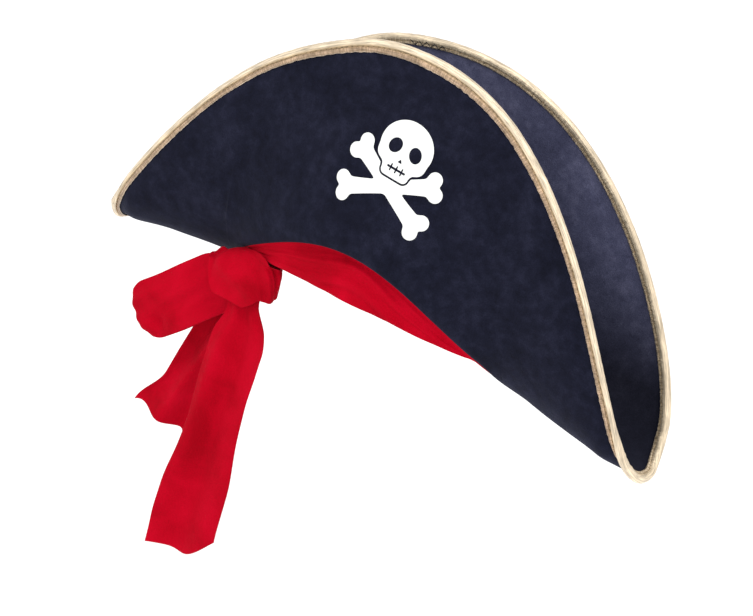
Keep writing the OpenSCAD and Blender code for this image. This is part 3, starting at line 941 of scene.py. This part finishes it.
def cap_z(x, y):
    """The cap's height: swollen and crumpled, and drawn down along its seam."""
    r = np.hypot(x / CAP_A, y / CAP_B)
    crumple = (1 - np.clip(r, 0, 1) ** 6) * (1.1 * waves(x, y, 60, 41) + 0.5 * waves(x, y, 24, 42))
    groove = 0.5 * np.exp(-(((1 - r) * 62 - 3.2) / 1.1) ** 2)
    return CROWN_HEIGHT + 0.1 + CAP_SWELL * (1 - r**2.4) + crumple - groove


def crown_cap():
    phi, r = ring_grid(240, 34)
    x, y = CAP_A * r * np.cos(phi), CAP_B * r * np.sin(phi)
    z = cap_z(x, y)
    return shell("crown_cap", stack(x, y, z + 1.0), stack(x, y, z), closed=True, weld=True)


def build_sweatband():
    band = wall("sweatband_ribbon", lambda c: low_z(c) + 3, lambda c: low_z(c) + 31, 3.75, 4.65, 14, lip=0.3)
    dress(band, ribbon, "sweatband")
    half_area(band)
    phi = full_turn(480)
    for name, rise in (("sweatband_stitches_low", 5.0), ("sweatband_stitches_high", 29.0)):
        path = wall_point(phi, low_z(np.cos(phi)) + rise, 4.75)
        row = stitches(name, path, -wall_normal(phi), 3.0, 1.2, 0.24, True)
        dress(row, black_thread)


def band_folds(phi, z):
    """Soft folds along the band, with a rolled lower edge. They fade where the band tucks under the brim."""
    low, high = low_z(np.cos(phi)), attach_z(np.cos(phi))
    tall = high - low
    v = (z - low) / np.maximum(tall, 1)
    u, w = 100 * np.cos(phi), 100 * np.sin(phi)
    drift = 0.5 * waves(u, w, 120, 51) + 0.3 * waves(u, w, 50, 52)
    ridge = 0.5 + 0.5 * np.sin(2 * np.pi * (2.6 * v + drift))
    fine = 0.5 + 0.5 * np.sin(2 * np.pi * (6.3 * v + 1.7 * drift + 0.6 * waves(u, w, 70, 53)))
    size = np.clip(tall / 30, 0.2, 1)
    hem = 0.7 * np.exp(-(((z - low) - 1.6) / 1.5) ** 2)
    tuck = smooth((high - 2.2 - z) / 7)
    flare = 2.4 * smooth((z - high + 4.5) / 3)
    return tuck * (size * (2.0 * ridge**1.5 + 0.5 * fine) + hem) + flare


def build_band():
    band = wall("bandana_wrap", low_z, lambda c: attach_z(c) - 1, 0.0, 1.2, 44, band_folds, 480, lip=0.5)
    dress(band, red, "bandana_band")
    return band


# ---- knot, tails and loop ----
KNOT_CENTRE = np.array([-86.0, -44.0])
KNOT_HALF = np.array([31.0, 14.6])
KNOT_TOP = -1.0
KNOT_SHOULDER = -22.0
KNOT_RIM = -39.0
KNOT_LEFT_RIM = -19.0
KNOT_WALL = 1.3
KNOT_TILT = 10.0
KNOT_RIGHT_RISE = 11.0
KNOT_FLARE = 0.8
KNOT_SQUARENESS = 2.6
KNOT_OPENS = 0.6


def knot_rim(phi):
    """The gather's rim: raised on the left for the loop, and on the right where the long tail swings."""
    c = np.cos(phi)
    back = smooth((np.sin(phi) - 0.1) / 0.5)
    rim = mix(KNOT_RIM, KNOT_LEFT_RIM, smooth((np.maximum(-c, 0) - 0.35) / 0.6))
    return rim + 5.0 * back + 0.8 * np.sin(3 * phi + 0.6) + KNOT_RIGHT_RISE * smooth((c - 0.15) / 0.45)


def knot_folds(phi, v, z):
    """Folds that run down and to the left from where the cloth leaves the band."""
    slant = phi + 0.03 * (z + 20) + 0.35 * np.sin(2 * phi + 0.8)
    fold = np.sin(6 * slant) * np.abs(np.sin(6 * slant)) ** 0.4 + 0.35 * np.sin(13 * slant + 1.0)
    soft = waves(40 * np.cos(phi), 40 * np.sin(phi) + 30 * v, 30, 61)
    return smooth(v / 0.3) * (1.25 * fold * mix(1, 0.4, smooth((v - 0.7) / 0.3)) + 0.9 * soft)


def squared(c):
    return np.sign(c) * np.abs(c) ** (2 / KNOT_SQUARENESS)


def outside_band(x, y, z):
    """Moves points that would lie in the band out in front of it."""
    c = np.clip(x / BAND_A, -1, 1)
    front = -BAND_B * np.sqrt(1 - c * c) - 3.2
    above = smooth((z - low_z(c) + 6) / 5)
    return np.where(y > front, mix(y, front - 0.02 * (y - front), above), y)


def build_knot():
    """A soft gather of cloth under the band, open below and on its left for the tails and the loop."""
    phi, v = ring_grid(260, 50)
    rim = knot_rim(phi)
    swell = np.clip(v / KNOT_OPENS, 0, 1) * np.pi / 2
    radius = np.sin(swell) ** 0.7
    ex, ey = squared(np.cos(phi)), squared(np.sin(phi))
    # the gather climbs towards the band on its right
    roof = KNOT_TOP + (KNOT_SHOULDER - KNOT_TOP) * (1 - np.cos(swell)) + KNOT_TILT * ex * radius
    roof = np.maximum(roof, np.where(v > 0.3, rim + 2, -99))
    start = np.maximum(KNOT_SHOULDER + KNOT_TILT * ex, rim + 2)
    z = np.where(v < KNOT_OPENS, roof, mix(start, rim, (v - KNOT_OPENS) / (1 - KNOT_OPENS)))
    swing = knot_folds(phi, v, z)
    x = KNOT_CENTRE[0] + (KNOT_HALF[0] + 0.8 * swing) * radius * ex
    y = KNOT_CENTRE[1] + (KNOT_HALF[1] + swing) * radius * ey
    x = x + (KNOT_FLARE * smooth(v / KNOT_OPENS) - 0.45 * (y + 53) * radius) * smooth(ex + 0.2)
    outer = stack(x, outside_band(x, y, z), z)
    shrink = np.array([1 - KNOT_WALL / KNOT_HALF[0], 1 - KNOT_WALL / KNOT_HALF[1], 1.0])
    middle = np.array([*KNOT_CENTRE, 0.0])
    drop = KNOT_WALL * (1 - smooth(v / KNOT_OPENS))
    inner = (outer - middle) * shrink + middle - stack(0, 0, drop)
    knot = shell("bandana_gather", outer, inner, closed=True, lip=0.5, weld=True, sharp=80)
    dress(knot, red, "bandana_knot")
    return knot


# a tail, in mm and degrees: its half widths from root to end, where its last flare starts and how long it is,
# the right side's part of that flare, the shift to the right, what is cut off its end and its corners, its
# lean, how far back it hangs, and its folds
Tail = namedtuple("Tail", "length widths flare even shift slant corner lean bias depth count turn seed")
LONG = Tail(209, (11, 23, 22, 28), (0.5, 0.28), 0.45, 4.6, 15, -1.5, 0, -4.0, 4.2, 1.25, 20, 81)
MIDDLE = Tail(141, (12, 15, 16, 27), (0.74, 0.26), 0.3, -4.0, 5, -4.0, -16.5, 4.0, 3.8, 1.2, 160, 83)


def tail_half(v, u, k):
    """The half width on the left side, where u is below 0, and on the right side."""
    root, upper, middle, end = k.widths
    near = mix(mix(root, upper, smooth(v / 0.2)), middle, smooth((v - 0.2) / 0.3))
    flare = (end - near) * smooth((v - k.flare[0]) / k.flare[1])
    return near + flare * np.where(u < 0, 1.0, k.even)


def hung(hinge, lean, down, aside, behind):
    """A point of cloth that hangs from a hinge, so far down from it, aside and behind."""
    x = hinge[0] + down * math.sin(lean) + aside * math.cos(lean)
    z = hinge[2] + aside * math.sin(lean) - down * math.cos(lean)
    return stack(x, hinge[1] + behind, z)


def tail(name, hinge, k):
    """A cloth tail that hangs from its hinge, gathered in soft folds that open towards its end."""
    v, u = np.meshgrid(np.linspace(0, 1, 140), np.linspace(-1, 1, 61), indexing="ij")
    reach = k.length - 2 - (k.slant * np.maximum(u + 0.25, 0) ** 2 + k.corner * u**8)
    s = 2 + reach * v
    half = tail_half(v, u, k)
    b = u * half + k.shift * smooth((v - 0.03) / 0.09)
    b = b + 0.5 * waves(s, 0 * s, 70, k.seed) * np.abs(u)
    main = np.sin(np.pi * k.count * u + math.radians(k.turn) + 2.1 * v)
    second = np.sin(2 * np.pi * k.count * u * (1 - 0.25 * v) + 1.3 + 3.0 * v)
    second = 0.4 * mix(0.4, 1, np.exp(-v / 0.35)) * smooth(v / 0.1) * second
    y = k.depth * (smooth((v + 0.02) / 0.3) * main + second)
    y = y + 0.5 * waves(b, s, 34, k.seed + 1) * smooth(v / 0.1) + k.bias * smooth(v / 0.4)
    rim = np.minimum(half * (1 - np.abs(u)), reach * (1 - v))
    thick = 0.5 + 0.28 * hem_roll(rim)
    sides = [hung(hinge, math.radians(k.lean), s, b, y + sign * thick) for sign in (-1, 1)]
    return shell(name, *sides, lip=0.45, sharp=75)


def hem_roll(rim):
    """The narrow roll of a hem: 1 just inside the rim, fading both ways."""
    return np.exp(-(((rim - 1.4) / 1.3) ** 2))


LOOP_LENGTH = 98.0
LOOP_WIDTH = 43.0
LOOP_LEAN = math.radians(-48)


def loop_curve(s, u):
    """How far out and how far open the strip is, s of the way round it and u across it."""
    out = 4 + (LOOP_LENGTH - 4 - 7 * u * u) * (1 - np.cos(2 * np.pi * s)) / 2
    sine = np.sin(2 * np.pi * s)
    opening = 0.95 * sine / (np.abs(sine) + 0.12) + 3.5 * sine * smooth((out - 22) / 26)
    return out, opening


def loop_sheet():
    """The bow loop: a strip that runs out, turns back and returns, dented near its end."""
    s, u = np.meshgrid(np.linspace(0.025, 0.975, 190), np.linspace(-1, 1, 45), indexing="ij")
    out, opening = loop_curve(s, u)
    ahead, behind = loop_curve(s + 0.002, u), loop_curve(s - 0.002, u)
    slope = unit(stack(ahead[0] - behind[0], ahead[1] - behind[1]))
    normal = stack(-slope[..., 1], slope[..., 0])
    half = mix(16.0, LOOP_WIDTH / 2, smooth(out / 24))
    half = half * (1 - 0.22 * smooth((out - 76) / 20) ** 2)
    b = u * half + 0.8 * waves(out, 0 * out, 40, 71) * np.abs(u)
    ripple = 1.9 * np.sin(np.pi * 1.7 * u + 0.05 * out + 0.6) + 0.9 * np.sin(np.pi * 3.6 * u - 0.06 * out)
    ripple = 0.6 * smooth((out - 14) / 20) * ripple
    dent = 6.0 * np.exp(-(((out - 80) / 6.5) ** 2) - ((b - 11) / 5.0) ** 2) * (s < 0.5)
    thick = 0.45 + 0.25 * hem_roll(half * (1 - np.abs(u)))
    sides = []
    for sign in (-1, 1):
        off = sign * thick[..., None] * normal
        over = opening + off[..., 1] + ripple - dent
        sides.append(hung(LOOP_HINGE, LOOP_LEAN, out + off[..., 0], b, -over))
    return shell("bandana_loop", *sides, lip=0.4, sharp=75)


def build_bandana():
    band = build_band()
    knot = build_knot()
    half_area(band)
    half_area(knot)
    long_tail = tail("bandana_long_tail", LONG_HINGE, LONG)
    middle = tail("bandana_middle_tail", MIDDLE_HINGE, MIDDLE)
    loop = loop_sheet()
    for piece, body, node, flat, held in (
        (long_tail, "long_tail", "tail_long", (0.066, 0.225), "hung"),
        (middle, "middle_tail", "tail_middle", (0.056, 0.147), "hung"),
        (loop, "loop", "bow_loop", (0.043, 0.2), "folded"),
    ):
        dress(piece, red, node, body)
        half_area(piece)


# ---- print: a skull over two crossed bones of a plain design, as a thin film with a soft edge ----
PRINT_AT = (11.7, 102.2)
PRINT_TURN = math.radians(-6)
BONE_CROSSING = math.radians(26)
PRINT_CELL = 0.4
PRINT_HALF = (46, 40)
HALO = 1.3
FILM_GAP = 0.06
FILM_EDGE = 0.16
FILM_SWELL = 0.24


def circle_gap(x, y, cx, cy, r, tall=1.0):
    """How far outside an oval a point is."""
    return np.hypot(x - cx, (y - cy) / tall) - r


def box_gap(x, y, cx, cy, hx, hy, r=0.0):
    dx, dy = np.abs(x - cx) - hx + r, np.abs(y - cy) - hy + r
    return np.hypot(np.maximum(dx, 0), np.maximum(dy, 0)) + np.minimum(np.maximum(dx, dy), 0) - r


def join(a, b, soft):
    """The union of two shapes with a rounded inner corner."""
    h = np.clip(0.5 + 0.5 * (b - a) / soft, 0, 1)
    return mix(b, a, h) - soft * h * (1 - h)


def bone_gap(x, y, angle):
    c, s = math.cos(angle), math.sin(angle)
    along, aside = x * c + (y + 13) * s, (y + 13) * c - x * s
    shape = box_gap(along, aside, 0, 0, 31, 4.5 + 0.0016 * along**2)
    for end in (-1, 1):
        for up in (-1, 1):
            shape = join(shape, circle_gap(along, aside, end * 33, up * 4.9, 5.2), 2.5)
    return shape


def emblem_gap(x, y):
    head = join(circle_gap(x, y, 0, 15, 19.6, 0.9), box_gap(x, y, 0, 1.5, 10.5, 8.5, 3.5), 4.0)
    skull = head
    for side in (-1, 1):
        skull = join(skull, circle_gap(x, y, side * 13.5, 6.5, 4.6), 3.0)
        eye = circle_gap(x + side * 0.12 * (y - 14), y, side * 7.8, 13.2, 4.7, 1.1)
        skull = np.maximum(skull, -eye)
    nose = np.maximum(np.abs(x) * 1.5 + (y - 6.6), 4.0 - y)
    skull = np.maximum(skull, -nose)
    mouth = box_gap(x, y, 0, -0.8, 7.2, 0.75, 0.7)
    for place in (-4.2, 0, 4.2):
        mouth = np.minimum(mouth, box_gap(x, y, place, -0.8, 0.55, 2.6, 0.5))
    skull = np.maximum(skull, -mouth)
    bones = join(bone_gap(x, y, BONE_CROSSING), bone_gap(x, y, -BONE_CROSSING), 2.0)
    return np.minimum(skull, np.maximum(bones, HALO - head))


def flap_t_at(x, z, f):
    """The t where a flap passes height z, found by halving."""
    low, high = np.full_like(x, 0.1), np.ones_like(x)
    for _ in range(30):
        t = (low + high) / 2
        above = flap_point(x, t, f)[..., 2] > z
        high, low = np.where(above, t, high), np.where(above, low, t)
    return t


def emblem_mesh():
    """Cells of a fine grid inside the emblem are kept, and the cells on its outline are cut along it."""
    x, y = np.meshgrid(*[np.arange(-half, half, PRINT_CELL) for half in PRINT_HALF], indexing="ij")
    gap = emblem_gap(x, y)
    inside = gap < 0
    spots, faces, made = [], [], {}

    def vertex(key, spot):
        if key not in made:
            made[key] = len(spots)
            spots.append(spot)
        return made[key]

    busy = inside[:-1, :-1] | inside[1:, :-1] | inside[1:, 1:] | inside[:-1, 1:]
    for i, j in zip(*np.nonzero(busy)):
        cell = [(i, j), (i + 1, j), (i + 1, j + 1), (i, j + 1)]
        ring = []
        for a, b in zip(cell, cell[1:] + cell[:1]):
            here, there = np.array([x[a], y[a]]), np.array([x[b], y[b]])
            if inside[a]:
                ring.append(vertex(a, here))
            if inside[a] != inside[b]:
                share = min(max(gap[a] / (gap[a] - gap[b]), 0.03), 0.97)
                ring.append(vertex(tuple(sorted((a, b))), mix(here, there, share)))
        if len(ring) > 2:
            faces.append(ring)
    return np.array(spots), faces


def thickened(faces, count):
    """The faces of a film between two layers of count points: both faces and the sides round them."""
    sides = {}
    for f in faces:
        for a, b in zip(f, f[1:] + f[:1]):
            if sides.pop((b, a), None) is None:
                sides[(a, b)] = True
    below = [[v + count for v in f[::-1]] for f in faces]
    return [*faces, *below, *[(b, a, a + count, b + count) for a, b in sides]]


def build_print():
    spots, faces = emblem_mesh()
    across, up = spots.T
    x = PRINT_AT[0] + across * math.cos(PRINT_TURN) - up * math.sin(PRINT_TURN)
    z = PRINT_AT[1] + across * math.sin(PRINT_TURN) + up * math.cos(PRINT_TURN)
    t = flap_t_at(x, z, FRONT)
    base, normal = flap_point(x, t, FRONT), flap_normal(x, t, FRONT)
    lift = CLOTH_OUT + nap_relief(x, t, FRONT, 1)
    height = FILM_EDGE + FILM_SWELL * smooth(-emblem_gap(across, up) / 0.8) + 0.03 * waves(x, z, 2.2, 91)
    points = np.concatenate([base + (lift + off)[:, None] * normal for off in (height, FILM_GAP)])
    piece = add_mesh("skull_film", points, outward(points, thickened(faces, len(spots))), sharp=60)
    dress(piece, film, "skull_print")


# ---- studio ----
FLOOR_Z = -0.32
CAMERA_YAW = math.radians(26.1)
CAMERA_RISE = math.radians(21.0)
CAMERA_ROLL = math.radians(16.1)
CAMERA_AWAY = 1.658
SENSOR = 36
LENS = 114.741
LENS_SHIFT = (-0.015538, -0.030279)
FAR = 30


def add_camera():
    data = bpy.data.cameras.new("camera")
    camera = bpy.data.objects.new("camera", data)
    bpy.context.scene.collection.objects.link(camera)
    level = Vector((math.cos(CAMERA_YAW), math.sin(CAMERA_YAW), 0))
    ahead = Vector((-math.sin(CAMERA_YAW), math.cos(CAMERA_YAW), 0))
    away = math.sin(CAMERA_RISE) * Vector((0, 0, 1)) - math.cos(CAMERA_RISE) * ahead
    upright = away.cross(level)
    right = math.cos(CAMERA_ROLL) * level + math.sin(CAMERA_ROLL) * upright
    up = -math.sin(CAMERA_ROLL) * level + math.cos(CAMERA_ROLL) * upright
    turn = Matrix((right, up, away)).transposed().to_4x4()
    camera.matrix_world = Matrix.Translation(away * CAMERA_AWAY) @ turn
    data.sensor_width = SENSOR
    data.lens = LENS
    data.shift_x, data.shift_y = LENS_SHIFT
    data.clip_end = FAR
    bpy.context.scene.camera = camera


def add_floor():
    """A wide pale floor that meets the white surroundings far away."""
    corners = [(x * FAR / MM, y * FAR / MM, FLOOR_Z / MM) for x, y in ((-1, -1), (1, -1), (1, 1), (-1, 1))]
    floor = add_mesh("studio_floor", corners, [(0, 1, 2, 3)])
    n = Nodes("studio_floor", Roughness=0.9, Specular_IOR_Level=0.05)
    n.shader.inputs["Emission Color"].default_value = (1, 1, 1, 1)
    n.shader.inputs["Emission Strength"].default_value = 0.16
    haze = n.noise(3, 2, 0.5)
    colour = n.colours(haze, (0.3, (0.88, 0.88, 0.88)), (0.7, (0.91, 0.91, 0.91)))
    floor.data.materials.append(n.finish(colour))


def add_light(name, place, target, size, power):
    data = bpy.data.lights.new(name, "AREA")
    data.shape = "RECTANGLE"
    data.size, data.size_y = size
    data.energy = power
    light = bpy.data.objects.new(name, data)
    light.location = place
    light.rotation_euler = (Vector(target) - Vector(place)).to_track_quat("-Z", "Y").to_euler()
    bpy.context.scene.collection.objects.link(light)


def add_studio():
    world = bpy.data.worlds.new("studio")
    world.use_nodes = True
    sky = world.node_tree.nodes["Background"]
    sky.inputs["Color"].default_value = (1, 1, 1, 1)
    sky.inputs["Strength"].default_value = 1.0
    bpy.context.scene.world = world
    bpy.context.scene.view_settings.view_transform = "Standard"
    add_light("key", (-0.8, -1.6, 1.9), (0, 0, 0.02), (1.4, 1.1), 13)
    add_light("fill", (2.0, -0.9, 1.2), (0, 0, 0.05), (1.2, 1.2), 6)
    add_light("top", (0.5, -0.7, 2.2), (0, 0, 0.05), (1.6, 1.2), 14)


add_camera()
add_studio()
add_floor()
build_brim()
build_binding()
build_seams()
build_crown()
build_sweatband()
build_bandana()
build_print()
